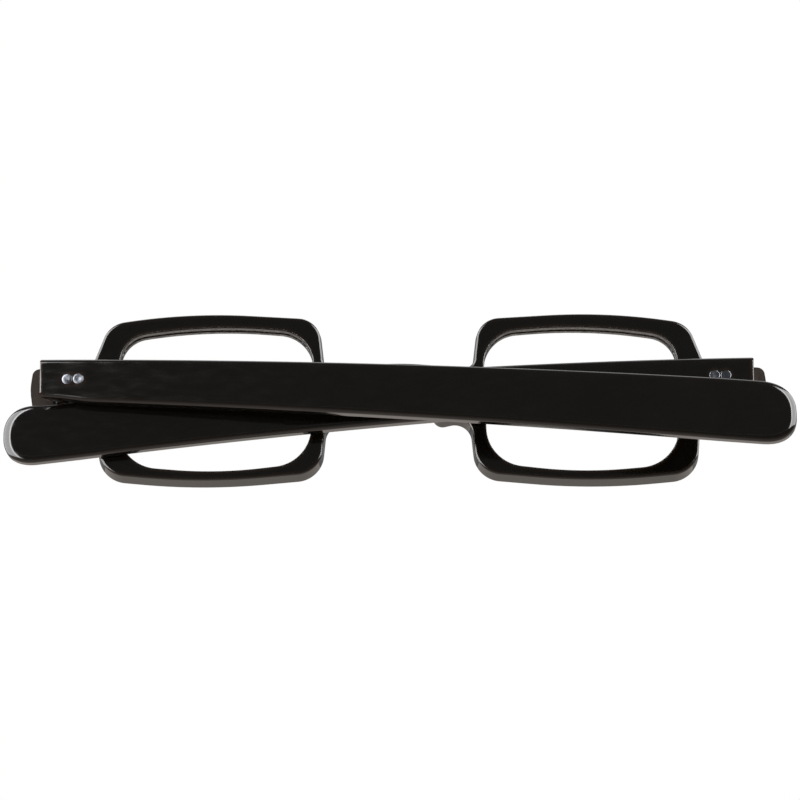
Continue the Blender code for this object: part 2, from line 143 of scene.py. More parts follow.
# Rivets, with the dome of the tail as shares of its height and radius
RIVET_RADIUS = 0.6
RIVET_HEAD_RADIUS = 1.0
RIVET_HEAD_HEIGHT = 0.45
RIVET_HEAD_BEVEL = 0.07
RIVET_RING_RADIUS = 0.66
RIVET_DIMPLE = 0.012
RIVET_TAIL_RADIUS = 0.85
RIVET_TAIL_HEIGHT = 0.25
RIVET_TAIL_DOME = ((1.0, 0.3), (0.94, 0.7), (0.7, 0.93), (0.4, 1.0))
RIVETS_IN_LEAF = 2
RIVET_SPACING = 2.17
TEMPLE_RIVET_FROM_PIN = 2.1
FRONT_RIVET_FROM_PIN = 2.9
RIVET_REST_GAP = 0.02

# Screw: the rim is the straight share of the head's height, the top the flat share of its radius
SCREW_HEAD_RADIUS = 1.15
SCREW_HEAD_HEIGHT = 0.55
SCREW_RIM_SHARE = 0.45
SCREW_TOP_SHARE = 0.7
SCREW_SLOT_WIDTH = 0.3
SCREW_SLOT_DEPTH = 0.25
SCREW_TIP_RECESS = 0.1
SCREW_BEVEL = 0.15

# Temple. Its droop is the slope and the curve of its middle line
TEMPLE_OUTER_V = 5.9
TEMPLE_THICKNESS = 4.0
TIP_THICKNESS = 3.35
BUTT_U = -3.4
MITRE_SLOPE = 0.4125
MITRE_FADE = 8.0
MITRE_GAP = 0.12
MITRE_BEHIND_LEAF = 1.2
BUTT_ROUND = 0.3
BUTT_ROUND_ROOM = 1.2 * BUTT_ROUND
ROOT_HEIGHT = 8.1
PADDLE_HEIGHT = 11.9
PADDLE_U = 127.6
HEIGHT_POWER = 0.9
TIP_U = 141.8
TIP_ROUND = 7.0
TIP_POWER = 2.4
ROOT_Z = 18.85
DROOP = {"left": (0.045, 0.00018), "right": (0.031, 0.00027)}
ROOT_LIFT = 0.55
ROOT_LIFT_LENGTH = 9.0
TIP_DIP = {"left": 0.0, "right": 0.75}
TIP_DIP_U = 131.5
TIP_DIP_REACH = 10.0
BOW = 3.58
OUTER_EDGE_RADIUS = 0.95
INNER_EDGE_RADIUS = 0.75
TIP_SOFTENING = 0.6
FOLD_ANGLE = {"left": 6.6, "right": -0.5}
CORE_RADIUS = 0.6
CORE_FIT = 0.08
CORE_START_U = -2.1
CORE_END_U = 121.0
CORE_BELOW_RIVETS = 2.3
CORE_RISE_LENGTH = 18.0

# How finely round shapes are drawn, and how far a cutter runs past the faces that it opens
ARC_STEP = math.radians(5)
LONGEST_CHORD = 1.5
ROUND_SEGMENTS = 64
BARREL_STEPS = 40
EDGE_STEPS = 8
TEMPLE_EDGE_STEPS = 11
TEMPLE_STATIONS = 70
TIP_STATIONS = 26
CORE_STATIONS = 60
RIVET_FACE_STEPS = 8
CORE_SIDES = 20
SHARP_ANGLE = math.radians(32)
OVERSHOOT = 0.5

# Materials: colours are linear, and reaches and depths are in millimetres
ACETATE_IOR = 1.48
ACETATE_COLOURS = ((0.0022, 0.0022, 0.0016), (0.0052, 0.0042, 0.003))
ACETATE_ROUGHNESS = (0.05, 0.13)
THIN_EDGE_COLOUR = (0.03, 0.016, 0.009)
THIN_EDGE_REACH = 0.9
THIN_EDGE_OPENNESS = (0.95, 0.45)
WAVE_DEPTH = 0.035
SCRATCH_DEPTH = 0.0006
MACHINED_COLOURS = ((0.007, 0.006, 0.005), (0.03, 0.027, 0.024))
MACHINED_ROUGHNESS = (0.12, 0.4)
MACHINED_DEPTH = 0.12
SAWN_COLOURS = ((0.007, 0.0052, 0.004), (0.048, 0.035, 0.027))
SAWN_SPECULAR = 0.04
SAWN_ROUGHNESS = 0.7
SAWN_DEPTH = 0.05
NOISE_RANGE = (0.3, 0.7)

# Metals: name, colour, least roughness and depth of the brushing
METALS = {
    "leaf": ("hinge_steel", (0.44, 0.44, 0.45), 0.26, 0.004),
    "rivet": ("rivet_steel", (0.23, 0.242, 0.27), 0.08, 0.0006),
    "screw": ("screw_steel", (0.50, 0.49, 0.48), 0.22, 0.003),
    "wire": ("wire_steel", (0.45, 0.44, 0.43), 0.30, 0.004),
}
STAIN_SHADE = 0.72
STAIN_ROUGHNESS = 0.15

# Camera: it looks up at the back of the front. Lengths are in metres from here on, apart from the sensor's
CAMERA_DISTANCE = 0.8
CAMERA_BELOW = math.radians(14)
CAMERA_ROLL = math.radians(-0.14)
CAMERA_AIM = Vector((-0.00027, 0.0, -0.00425))
VIEW_WIDTH = 0.1556
SENSOR_WIDTH = 36.0
CLIP_RANGE = (0.01, 100.0)

# Studio: sizes in metres, radiances, and angles in degrees. The spans are elevations
FLOOR_DROP = 0.33
FLOOR_SIZE = 40.0
FLOOR_TONE = 0.72
FLOOR_WARMTH = (1.0, 0.9, 0.82)
FLAG_LIFT = 0.01
FLAG_HALF_SIZE = 8.0
FLAG_START = 0.0
FLAG_FULL = 0.5
FLAG_NEAR_TONE = 0.66
FLAG_TONE = 0.12
CARD_ROUGHNESS = 0.9
STUDIO_RADIANCE = 0.25
DARK_RADIANCE = 0.15
DARK_ELEVATION = 30.0
DARK_INNER_REACH = 40.0
DARK_OUTER_REACH = 60.0
SOFTBOX_DISTANCE = 0.6
SOFTBOX_AZIMUTH = 66.0
SOFTBOX_HALF_WIDTH = 37.0
SOFTBOX_SPANS = {"left": (-34.0, 50.0), "right": (-6.0, 50.0)}
SOFTBOX_RADIANCE = 8.5
STRIP_HALF_WIDTH = 3.0
STRIP_RADIANCE = 8.0
TOP_AZIMUTH = 180.0
TOP_HALF_WIDTH = 30.0
TOP_SPAN = (40.0, 85.0)
TOP_RADIANCE = 1.2


# ---------------------------------------------------------------- materials


def new_material(name):
    """A material with its nodes and links, which starts as a plain Principled BSDF."""
    material = bpy.data.materials.new(name)
    material.use_nodes = True
    return material, material.node_tree.nodes, material.node_tree.links


def noise_node(nodes, links, scale, detail, stretch=(1.0, 1.0, 1.0)):
    """Noise in object space. Scale is in features per metre, and stretch multiplies it along each axis."""
    place = nodes.new("ShaderNodeTexCoord")
    mapping = nodes.new("ShaderNodeMapping")
    mapping.inputs["Scale"].default_value = stretch
    texture = nodes.new("ShaderNodeTexNoise")
    texture.inputs["Scale"].default_value = scale
    texture.inputs["Detail"].default_value = detail
    links.new(place.outputs["Object"], mapping.inputs["Vector"])
    links.new(mapping.outputs["Vector"], texture.inputs["Vector"])
    return texture


def spread(nodes, links, source, low, high):
    """Maps a noise value to a range."""
    node = nodes.new("ShaderNodeMapRange")
    node.inputs["From Min"].default_value = NOISE_RANGE[0]
    node.inputs["From Max"].default_value = NOISE_RANGE[1]
    node.inputs["To Min"].default_value = low
    node.inputs["To Max"].default_value = high
    links.new(source, node.inputs["Value"])
    return node.outputs["Result"]


def mix_colours(nodes, links, factor, first, second):
    """Blends two colours by a factor."""
    node = nodes.new("ShaderNodeMix")
    node.data_type = "RGBA"
    node.inputs["A"].default_value = (*first, 1.0)
    node.inputs["B"].default_value = (*second, 1.0)
    links.new(factor, node.inputs["Factor"])
    return node.outputs["Result"]


def add_bump(nodes, links, height, depth, normal=None):
    """Bump whose depth is in metres."""
    node = nodes.new("ShaderNodeBump")
    node.inputs["Strength"].default_value = 1.0
    node.inputs["Distance"].default_value = depth
    links.new(height, node.inputs["Height"])
    if normal is not None:
        links.new(normal, node.inputs["Normal"])
    return node.outputs["Normal"]


def polished_acetate():
    """Black cellulose acetate: brown where it is thin, wavy from hand polishing, with hairline scratches."""
    material, nodes, links = new_material("polished_acetate")
    shader = nodes["Principled BSDF"]
    shader.inputs["IOR"].default_value = ACETATE_IOR
    cloud = noise_node(nodes, links, scale=90.0, detail=3.0)
    body = mix_colours(nodes, links, cloud.outputs["Fac"], *ACETATE_COLOURS)
    thin = nodes.new("ShaderNodeAmbientOcclusion")
    thin.inside = True
    thin.samples = 8
    thin.inputs["Distance"].default_value = THIN_EDGE_REACH * MM
    edge = nodes.new("ShaderNodeMapRange")
    edge.inputs["From Min"].default_value = THIN_EDGE_OPENNESS[0]
    edge.inputs["From Max"].default_value = THIN_EDGE_OPENNESS[1]
    links.new(thin.outputs["AO"], edge.inputs["Value"])
    tint = nodes.new("ShaderNodeMix")
    tint.data_type = "RGBA"
    tint.inputs["B"].default_value = (*THIN_EDGE_COLOUR, 1.0)
    links.new(edge.outputs["Result"], tint.inputs["Factor"])
    links.new(body, tint.inputs["A"])
    links.new(tint.outputs["Result"], shader.inputs["Base Color"])
    smear = noise_node(nodes, links, scale=260.0, detail=4.0, stretch=(1.0, 1.0, 3.0))
    links.new(spread(nodes, links, smear.outputs["Fac"], *ACETATE_ROUGHNESS), shader.inputs["Roughness"])
    wave = noise_node(nodes, links, scale=75.0, detail=1.0)
    scratch = noise_node(nodes, links, scale=2600.0, detail=2.0, stretch=(0.06, 1.0, 1.0))
    normal = add_bump(nodes, links, wave.outputs["Fac"], WAVE_DEPTH * MM)
    normal = add_bump(nodes, links, scratch.outputs["Fac"], SCRATCH_DEPTH * MM, normal)
    links.new(normal, shader.inputs["Normal"])
    return material


def machined_acetate():
    """Acetate as the groove cutter left it: dark, with bright and dull patches and fine chatter."""
    material, nodes, links = new_material("machined_acetate")
    shader = nodes["Principled BSDF"]
    shader.inputs["IOR"].default_value = ACETATE_IOR
    dust = noise_node(nodes, links, scale=1400.0, detail=4.0)
    colour = mix_colours(nodes, links, dust.outputs["Fac"], *MACHINED_COLOURS)
    links.new(colour, shader.inputs["Base Color"])
    links.new(spread(nodes, links, dust.outputs["Fac"], *MACHINED_ROUGHNESS), shader.inputs["Roughness"])
    chatter = noise_node(nodes, links, scale=900.0, detail=3.0, stretch=(1.0, 0.5, 1.0))
    normal = add_bump(nodes, links, chatter.outputs["Fac"], MACHINED_DEPTH * MM)
    links.new(normal, shader.inputs["Normal"])
    return material


def sawn_acetate():
    """Sawn and filed acetate inside the joints: matte dark brown, with the grain of the file."""
    material, nodes, links = new_material("sawn_acetate")
    shader = nodes["Principled BSDF"]
    shader.inputs["Specular IOR Level"].default_value = SAWN_SPECULAR
    shader.inputs["Roughness"].default_value = SAWN_ROUGHNESS
    grain = noise_node(nodes, links, scale=900.0, detail=4.0, stretch=(1.0, 1.0, 0.35))
    colour = mix_colours(nodes, links, grain.outputs["Fac"], *SAWN_COLOURS)
    links.new(colour, shader.inputs["Base Color"])
    links.new(add_bump(nodes, links, grain.outputs["Fac"], SAWN_DEPTH * MM), shader.inputs["Normal"])
    return material


def steel(name, colour, roughness, brush_depth):
    """Nickel steel with fine brushing and a slight stain."""
    material, nodes, links = new_material(name)
    shader = nodes["Principled BSDF"]
    shader.inputs["Metallic"].default_value = 1.0
    stain = noise_node(nodes, links, scale=700.0, detail=4.0)
    darker = tuple(STAIN_SHADE * channel for channel in colour)
    links.new(mix_colours(nodes, links, stain.outputs["Fac"], darker, colour), shader.inputs["Base Color"])
    rough = spread(nodes, links, stain.outputs["Fac"], roughness, roughness + STAIN_ROUGHNESS)
    links.new(rough, shader.inputs["Roughness"])
    brush = noise_node(nodes, links, scale=5200.0, detail=2.0, stretch=(1.0, 1.0, 0.12))
    links.new(add_bump(nodes, links, brush.outputs["Fac"], brush_depth * MM), shader.inputs["Normal"])
    return material


# ---------------------------------------------------------------- mesh tools


def finish_object(name, bm, materials):
    """Links a mesh to the scene as one object, with its faces turned outwards."""
    bmesh.ops.recalc_face_normals(bm, faces=bm.faces)
    mesh = bpy.data.meshes.new(name)
    bm.to_mesh(mesh)
    bm.free()
    for material in materials:
        mesh.materials.append(material)
    obj = bpy.data.objects.new(name, mesh)
    bpy.context.scene.collection.objects.link(obj)
    return obj


def stack_rings(name, rings, material, place, ladder_caps=False):
    """A closed solid through a stack of rings of equal length.

    A ladder cap closes an end by joining each point to the one opposite.
    """
    bm = bmesh.new()
    loops = [[bm.verts.new(place @ Vector(point)) for point in ring] for ring in rings]
    count = len(loops[0])
    for near, far in zip(loops, loops[1:]):
        for i in range(count):
            j = (i + 1) % count
            bm.faces.new((near[i], near[j], far[j], far[i]))
    for end in (loops[0], loops[-1]):
        if not ladder_caps:
            bm.faces.new(end)
            continue
        for i in range(count // 2 - 1):
            bm.faces.new((end[i], end[i + 1], end[-2 - i], end[-1 - i]))
    return finish_object(name, bm, [material])


def cut(target, cutters):
    """Cuts every cutter out of the target for good. Cut faces keep the cutter's material."""
    for cutter in cutters:
        modifier = target.modifiers.new("cut", "BOOLEAN")
        modifier.operation = "DIFFERENCE"
        modifier.solver = "EXACT"
        modifier.material_mode = "TRANSFER"
        modifier.object = cutter
    apply_modifiers(target)
    for cutter in cutters:
        bpy.data.objects.remove(cutter, do_unlink=True)


def apply_modifiers(obj):
    """Replaces the object's mesh by what its modifiers make of it."""
    bpy.context.view_layer.update()
    graph = bpy.context.evaluated_depsgraph_get()
    mesh = bpy.data.meshes.new_from_object(obj.evaluated_get(graph))
    obj.modifiers.clear()
    obj.data = mesh
    mesh.name = obj.name


def smooth(obj, bevel=0.0):
    """Bevels the sharp edges a little if asked, then shades the mesh so that flat faces stay flat."""
    if bevel:
        modifier = obj.modifiers.new("bevel", "BEVEL")
        modifier.width = bevel * MM
        modifier.segments = 2
        modifier.limit_method = "ANGLE"
        modifier.angle_limit = SHARP_ANGLE
        modifier.use_clamp_overlap = True
        apply_modifiers(obj)
    obj.data.shade_smooth()
    obj.data.set_sharp_from_angle(angle=SHARP_ANGLE)
    weight = obj.modifiers.new("weighted normals", "WEIGHTED_NORMAL")
    weight.keep_sharp = True
    weight.weight = 100
    return obj


def unit(vector):
    """The vector at length 1."""
    return vector / vector.length


def round_corners(corners):
    """Points along a closed outline whose corners, given as (x, z, radius), are rounded by arcs."""
    points = []
    for k, (x, z, radius) in enumerate(corners):
        corner = Vector((x, z))
        before = unit(corner - Vector(corners[k - 1][:2]))
        after = unit(Vector(corners[(k + 1) % len(corners)][:2]) - corner)
        turn = before.angle_signed(after)
        start = corner - before * radius * math.tan(abs(turn) / 2)
        side = math.copysign(1.0, turn)
        centre = start + Vector((before.y, -before.x)) * side * radius
        steps = max(math.ceil(abs(turn) / ARC_STEP), math.ceil(abs(turn) * radius / LONGEST_CHORD), 2)
        for step in range(steps + 1):
            spoke = start - centre
            angle = -turn * step / steps
            points.append(centre + Vector((
                spoke.x * math.cos(angle) - spoke.y * math.sin(angle),
                spoke.x * math.sin(angle) + spoke.y * math.cos(angle),
            )))
    return points


def resample(points, step):
    """The closed outline with points no further apart than a step."""
    result = []
    for k, point in enumerate(points):
        following = points[(k + 1) % len(points)]
        pieces = max(1, math.ceil((following - point).length / step))
        result += [point.lerp(following, piece / pieces) for piece in range(pieces)]
    return result


def inset(points, distances):
    """The closed clockwise outline moved inwards by one distance for each point."""
    moved = []
    for k, point in enumerate(points):
        before = unit(point - points[k - 1])
        after = unit(points[(k + 1) % len(points)] - point)
        inward_before = Vector((before.y, -before.x))
        inward_after = Vector((after.y, -after.x))
        mitre = (inward_before + inward_after) / (1 + inward_before.dot(inward_after))
        moved.append(point + mitre * distances[k])
    return moved


def edge_round(radius, steps):
    """Pairs of inset and depth over a hand-polished edge, from the face to the side wall.

    The curve is loose where it leaves the face and tightens to the given radius.
    """
    inset_so_far = 0.0
    depth = 0.0
    pairs = [(0.0, 0.0)]
    slices = EDGE_SLICES * steps
    for k in range(slices):
        turn = math.pi / 2 * (k + 0.5) / slices
        length = radius * (1 + EDGE_SOFTNESS * math.exp(-turn / EDGE_SOFT_TURN)) * math.pi / 2 / slices
        inset_so_far += length * math.cos(turn)
        depth += length * math.sin(turn)
        if (k + 1) % EDGE_SLICES == 0:
            pairs.append((inset_so_far, depth))
    return [(inset_so_far - done, down) for done, down in pairs]


def prism(name, outline, low, high, material, place):
    """A plan outline drawn up between two heights."""
    rings = [[(x, y, z) for x, y in outline] for z in (low, high)]
    return stack_rings(name, rings, material, place)


def box(name, low, high, material, place):
    """A box between two opposite corners."""
    outline = ((low[0], low[1]), (high[0], low[1]), (high[0], high[1]), (low[0], high[1]))
    return prism(name, outline, low[2], high[2], material, place)


def turned(name, profile, along, centre, material, place):
    """A solid of revolution about local Y or Z. Its profile holds pairs of position along it and radius."""
    rings = []
    for position, radius in profile:
        ring = []
        for k in range(ROUND_SEGMENTS):
            angle = 2 * math.pi * k / ROUND_SEGMENTS
            across = (radius * math.cos(angle), radius * math.sin(angle))
            if along == "Y":
                ring.append((centre[0] + across[0], centre[1] + position, centre[2] + across[1]))
            else:
                ring.append((centre[0] + across[0], centre[1] + across[1], centre[2] + position))
        rings.append(ring)
    return stack_rings(name, rings, material, place)


def stand_for(obj, node, body):
    """Makes a finished piece stand for a CAD node."""
    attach(obj, body)
    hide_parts(node)


# ---------------------------------------------------------------- front


def row_place():
    """From the drawing's millimetres to the row frame."""
    return Matrix.Scale(MM, 4) @ Matrix.Translation(DATUM)


def front_rings():
    """Rings from the front face at -Y to the back face at Y 0."""
    mirrored = [(-x, z, radius) for x, z, radius in FRONT_CORNERS[:0:-1]]
    outline = round_corners(list(FRONT_CORNERS) + mirrored)
    rings = []
    for edge, depth in edge_round(EDGE_RADIUS, EDGE_STEPS):
        rings.append((-FRONT_DEPTH + depth, edge))
    for edge, depth in reversed(edge_round(EDGE_RADIUS, EDGE_STEPS)):
        rings.append((-depth, edge))
    drafts = wall_drafts(outline)
    result = []
    for y, edge in rings:
        back = (y + FRONT_DEPTH) / FRONT_DEPTH
        points = inset(outline, [edge + draft * back for draft in drafts])
        result.append([(p.x, y, p.y) for p in points])
    return result


def wall_drafts(outline):
    """How far the back edge lies inside the front edge, point by point: most where the outline is level."""
    drafts = []
    for k in range(len(outline)):
        along = unit(outline[(k + 1) % len(outline)] - outline[k - 1])
        drafts.append(SIDE_DRAFT + (LEVEL_DRAFT - SIDE_DRAFT) * abs(along.x))
    return drafts


def quarter_turn():
    """Evenly spaced angles over a right angle."""
    return [math.pi / 2 * k / EDGE_STEPS for k in range(EDGE_STEPS + 1)]


def lens_profile():
    """Section of a lens opening from front to back, as (y, growth of the opening, share of chatter)."""
    lip = [(LIP_RADIUS * (1 - math.sin(a)), LIP_RADIUS * (1 - math.cos(a))) for a in quarter_turn()]
    profile = [(-FRONT_DEPTH - OVERSHOOT, LIP_RADIUS, 0.0)]
    profile += [(-FRONT_DEPTH + depth, grow, 0.0) for grow, depth in lip]
    half = GROOVE_WIDTH / 2
    in_front = [(-share, rough) for share, rough in reversed(GROOVE_SECTION)]
    for share, rough in (*in_front, *GROOVE_SECTION):
        grow = GROOVE_DEPTH * max(0.0, 1 - abs(share)) ** GROOVE_POWER
        profile.append((-GROOVE_FROM_BACK + half * share, grow, rough))
    profile += [(-depth, grow, 0.0) for grow, depth in reversed(lip)]
    profile.append((OVERSHOOT, LIP_RADIUS, 0.0))
    return profile


def lens_cutter(sign, material, place):
    """Spool that cuts one lens opening, with rounded lips and the rough V groove that holds a lens."""
    outline = resample(round_corners(LENS_CORNERS), GROOVE_POINT_STEP)
    rings = []
    for y, grow, rough in lens_profile():
        ring = []
        for point in inset(outline, [-grow] * len(outline)):
            at = Vector((point.x / CHATTER_LENGTH, y, point.y / CHATTER_LENGTH))
            deep = CHATTER_DEPTH * rough * noise.noise(at)
            drift = CHATTER_DRIFT * rough * noise.noise(at + DRIFT_OFFSET)
            moved = point + unit(point - LENS_MIDDLE) * deep
            ring.append((sign * moved.x, y + drift, moved.y))
        rings.append(ring)
    return stack_rings("lens_cutter", rings, material, place)


def mitre_cutter(sign, material, place):
    """Everything behind the slanting face that the open temple's butt closes on."""
    inner = PIN_X + LEAF_TO_FACE - MITRE_BEHIND_LEAF
    outer = ENDPIECE_X + OVERSHOOT
    start = PIN_Y + BUTT_U + (TEMPLE_OUTER_V - LEAF_TO_FACE) * MITRE_SLOPE - MITRE_GAP
    line = [(x, start - (x - PIN_X - LEAF_TO_FACE) * MITRE_SLOPE) for x in (inner, outer)]
    plan = [(sign * x, y) for x, y in (*line, (outer, OVERSHOOT), (inner, OVERSHOOT))]
    return prism("mitre", plan, ENDPIECE_BOTTOM - OVERSHOOT, ENDPIECE_TOP + OVERSHOOT, material, place)


def hinge_span(side):
    """Lowest and highest point of the barrel."""
    half = (KNUCKLES * KNUCKLE_HEIGHT + (KNUCKLES - 1) * KNUCKLE_GAP) / 2
    return HINGE_Z[side] - half, HINGE_Z[side] + half


def front_pocket(side, sign, material, place):
    """Recess in the back of the endpiece for the front leaf."""
    low, high = hinge_span(side)
    ends = sorted((sign * (PIN_X - FRONT_LEAF_LENGTH - POCKET_FIT), sign * (PIN_X + NECK_WIDTH + POCKET_FIT)))
    return box(
        "leaf_pocket",
        (ends[0], -LEAF_THICKNESS - POCKET_FIT, low - POCKET_FIT),
        (ends[1], OVERSHOOT, high + POCKET_FIT),
        material,
        place,
    )


def front_rivet_centres(side, sign):
    """Where the tails of an endpiece's rivets start, at the back face."""
    start = PIN_X - FRONT_RIVET_FROM_PIN
    return [(sign * (start - k * RIVET_SPACING), 0.0, HINGE_Z[side]) for k in range(RIVETS_IN_LEAF)]


def facing_front(profile):
    """A rivet's profile turned round, so that its head lies in the front face."""
    return [(-position, radius) for position, radius in profile]


def build_front(acetate, machined, sawn, metal):
    """The front with its lens openings, leaf recesses and rivet holes cut, and its half of each hinge."""
    place = row_place()
    front = stack_rings("front_sheet", front_rings(), acetate, place)
    cutters = []
    for side, sign in SIDES.items():
        cutters.append(lens_cutter(sign, machined, place))
        cutters.append(mitre_cutter(sign, sawn, place))
        cutters.append(front_pocket(side, sign, sawn, place))
        for centre in front_rivet_centres(side, sign):
            cutters.append(turned("hole", facing_front(rivet_hole(FRONT_DEPTH)), "Y", centre, sawn, place))
        build_front_hinge(side, sign, metal, place)
    cut(front, cutters)
    stand_for(smooth(front), "front_frame", "front")


# ---------------------------------------------------------------- hinges, rivets and screws


def knuckle_slots(side, owner_is_front):
    """Height ranges that a leaf leaves free for the other leaf's knuckles."""
    low = hinge_span(side)[0]
    pitch = KNUCKLE_HEIGHT + KNUCKLE_GAP
    first = 1 if owner_is_front else 0
    slots = []
    for k in range(first, KNUCKLES, 2):
        start = low + k * pitch
        slots.append((start - KNUCKLE_GAP, start + KNUCKLE_HEIGHT + KNUCKLE_GAP))
    return slots


def leaf_outline(length, along, out):
    """Plan of a leaf about the pin: a plate, a neck and a barrel.

    along is the direction that the plate runs in, and out is the side of the pin that it lies on.
    """
    plate_near = LEAF_TO_FACE
    plate_far = LEAF_TO_FACE + LEAF_THICKNESS
    start = math.atan2(math.sqrt(BARREL_RADIUS**2 - NECK_WIDTH**2), -NECK_WIDTH)
    points = [(length, plate_far), (-NECK_WIDTH, plate_far)]
    for k in range(BARREL_STEPS + 1):
        angle = start + (2 * math.pi - start) * k / BARREL_STEPS
        points.append((BARREL_RADIUS * math.cos(angle), BARREL_RADIUS * math.sin(angle)))
    points += [(BARREL_RADIUS, plate_near), (length, plate_near)]
    return [(a * along[0] + b * out[0], a * along[1] + b * out[1]) for a, b in points]


def hinge_leaf(name, side, length, along, out, pin, is_front, metal, place, rivet_centres, rivet_cut):
    """A hinge leaf with its knuckles, around the pin's place in plan."""
    low, high = hinge_span(side)
    outline = [(pin[0] + x, pin[1] + y) for x, y in leaf_outline(length, along, out)]
    leaf = prism(name, outline, low, high, metal, place)
    surface = out[1] * SLOT_FLOOR
    free = -out[1] * SLOT_REACH
    cutters = []
    for bottom, top in knuckle_slots(side, is_front):
        cutters.append(box(
            "slot",
            (pin[0] - SLOT_REACH, pin[1] + min(surface, free), bottom),
            (pin[0] + SLOT_REACH, pin[1] + max(surface, free), top),
            metal,
            place,
        ))
    bore = PIN_RADIUS + RUNNING_FIT
    profile = ((low - OVERSHOOT, bore), (high + OVERSHOOT, bore))
    cutters.append(turned("pin_hole", profile, "Z", (*pin, 0.0), metal, place))
    for rivet_centre in rivet_centres:
        cutters.append(turned("rivet_hole", rivet_cut, "Y", rivet_centre, metal, place))
    cut(leaf, cutters)
    return smooth(leaf, LEAF_BEVEL)


def rivet_hole(grip):
    """Profile of the hole and countersink for a rivet whose tail starts at position 0."""
    head_base = grip - RIVET_HEAD_HEIGHT - RUNNING_FIT
    return (
        (-RIVET_REST_GAP - OVERSHOOT, RIVET_RADIUS + RUNNING_FIT),
        (head_base, RIVET_RADIUS + RUNNING_FIT),
        (head_base, RIVET_HEAD_RADIUS + RUNNING_FIT),
        (grip + OVERSHOOT, RIVET_HEAD_RADIUS + RUNNING_FIT),
    )


def rivet_profile(grip):
    """A rivet from its hammered tail to its filed head, with a softened rim and a shallow dimple."""
    head_base = grip - RIVET_HEAD_HEIGHT
    tail = -RIVET_REST_GAP
    profile = [
        (tail - RIVET_TAIL_HEIGHT * height, RIVET_TAIL_RADIUS * radius) for height, radius in RIVET_TAIL_DOME
    ]
    profile += [
        (tail, RIVET_TAIL_RADIUS),
        (tail, RIVET_RADIUS),
        (head_base, RIVET_RADIUS),
        (head_base, RIVET_HEAD_RADIUS),
    ]
    for angle in quarter_turn():
        profile.append((
            grip - RIVET_HEAD_BEVEL * (1 - math.sin(angle)),
            RIVET_HEAD_RADIUS - RIVET_HEAD_BEVEL * (1 - math.cos(angle)),
        ))
    for k in range(RIVET_FACE_STEPS):
        share = 1 - k / RIVET_FACE_STEPS
        dip = RIVET_DIMPLE * (1 + math.cos(math.pi * share)) / 2
        profile.append((grip - dip, RIVET_RING_RADIUS * share))
    return profile


def build_front_hinge(side, sign, metal, place):
    """The front leaf of one hinge with its rivets and the screw."""
    centres = front_rivet_centres(side, sign)
    leaf = hinge_leaf(
        f"front_leaf_{side}", side, FRONT_LEAF_LENGTH, (-sign, 0), (0, -1), (sign * PIN_X, PIN_Y), True,
        metal["leaf"], place, centres, facing_front(rivet_hole(FRONT_DEPTH)),
    )
    stand_for(leaf, f"front_hinge_leaf_{side}", "front")
    profile = facing_front(rivet_profile(FRONT_DEPTH))
    for k, centre in enumerate(centres):
        rivet = turned(f"front_rivet_pin_{side}_{k + 1}", profile, "Y", centre, metal["rivet"], place)
        stand_for(smooth(rivet), f"front_rivet_{side}_{k + 1}", "front")
    build_screw(side, sign, metal["screw"], place)


def build_screw(side, sign, metal, place):
    """The slotted screw that is the hinge pin."""
    low, high = hinge_span(side)
    tip = low + SCREW_TIP_RECESS
    seat = high + RUNNING_FIT
    top = seat + SCREW_HEAD_HEIGHT
    profile = [
        (tip, PIN_RADIUS - SCREW_BEVEL),
        (tip + SCREW_BEVEL, PIN_RADIUS),
        (seat, PIN_RADIUS),
        (seat, SCREW_HEAD_RADIUS),
    ]
    for angle in quarter_turn():
        profile.append((
            seat + SCREW_HEAD_HEIGHT * (SCREW_RIM_SHARE + (1 - SCREW_RIM_SHARE) * math.sin(angle)),
            SCREW_HEAD_RADIUS * (SCREW_TOP_SHARE + (1 - SCREW_TOP_SHARE) * math.cos(angle)),
        ))
    centre = (sign * PIN_X, PIN_Y, 0.0)
    screw = turned(f"slotted_screw_{side}", profile, "Z", centre, metal, place)
    reach = SCREW_HEAD_RADIUS + OVERSHOOT
    slot = box(
        "screw_slot",
        (centre[0] - SCREW_SLOT_WIDTH / 2, PIN_Y - reach, top - SCREW_SLOT_DEPTH),
        (centre[0] + SCREW_SLOT_WIDTH / 2, PIN_Y + reach, top + OVERSHOOT),
        metal,
        place,
    )
    cut(screw, [slot])
    stand_for(smooth(screw), f"hinge_screw_{side}", "front")


# ---------------------------------------------------------------- temples


def temple_centre_z(side, u):
    """Height of a temple's middle line, which droops towards the tip."""
    slope, curve = DROOP[side]
    along = u - BUTT_U
    return ROOT_Z - slope * along - curve * along**2


def temple_half_height(u):
    """Half the height of a temple, which widens to a paddle and ends in a rounded tip."""
    share = min((u - BUTT_U) / (PADDLE_U - BUTT_U), 1.0)
    height = ROOT_HEIGHT + (PADDLE_HEIGHT - ROOT_HEIGHT) * share**HEIGHT_POWER
    beyond = max(0.0, (u - TIP_U + TIP_ROUND) / TIP_ROUND)
    return height / 2 * (1 - min(beyond, 1.0) ** TIP_POWER) ** (1 / TIP_POWER)


def temple_bow(u):
    """How far a temple has curved inwards, to follow the side of the head."""
    return BOW * (u / TIP_U) ** 2


def temple_thickness(u):
    """A temple thins evenly from the pin to the tip."""
    share = max(0.0, min(u / TIP_U, 1.0))
    return TEMPLE_THICKNESS + (TIP_THICKNESS - TEMPLE_THICKNESS) * share


def root_lift(u):
    """How far the bottom edge rises towards the butt."""
    return ROOT_LIFT * max(0.0, 1 - ((u - BUTT_U) / ROOT_LIFT_LENGTH) ** 2)


def tip_dip(side, u):
    """How far the top edge is filed down just before the tip."""
    share = min(abs(u - TIP_DIP_U) / TIP_DIP_REACH, 1.0)
    return TIP_DIP[side] * (1 + math.cos(math.pi * share)) / 2


